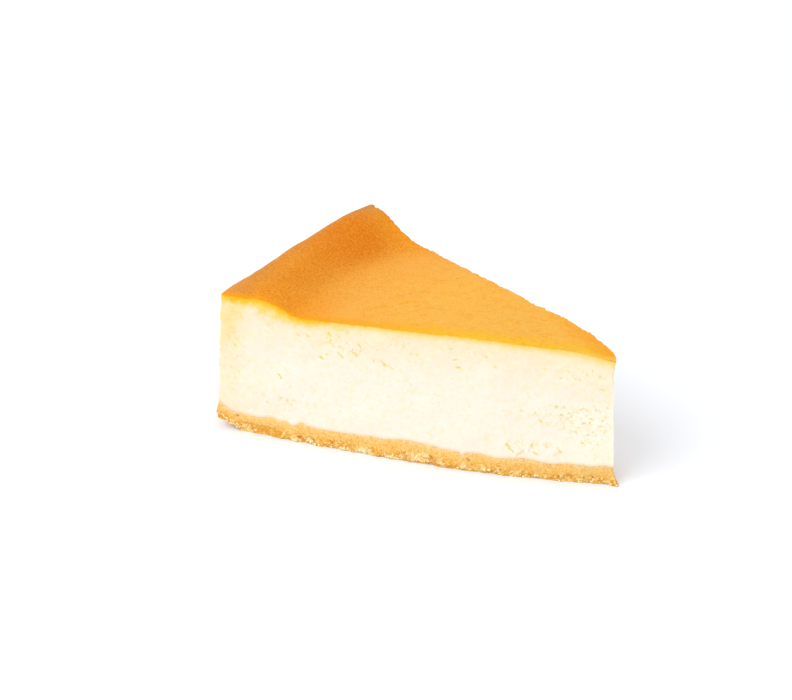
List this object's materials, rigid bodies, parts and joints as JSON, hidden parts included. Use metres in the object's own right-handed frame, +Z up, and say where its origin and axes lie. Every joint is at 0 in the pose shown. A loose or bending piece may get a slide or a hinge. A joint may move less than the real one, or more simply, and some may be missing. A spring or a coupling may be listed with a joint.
{
  "type": "plain cheesecake slice",
  "caption": "Wedge of plain baked cheesecake with a browned, puffed rim on a thin crumb base, standing on its flat underside.",
  "frame": {"origin": "middle of the bounding box on the plane of the underside", "axes": "+X along the slice towards its tip, +Y towards the far knife cut, +Z up"},
  "size_m": [0.1118, 0.0712, 0.0429],
  "materials": {
    "baked_filling": "moist, softly satin baked cream, pale on the cuts and browned golden orange on top",
    "crumb_base": "matt, coarse golden biscuit crumb"
  },
  "bodies": {
    "root": {"filling": "baked_filling", "crumb_base": "crumb_base"}
  },
  "joints": []
}
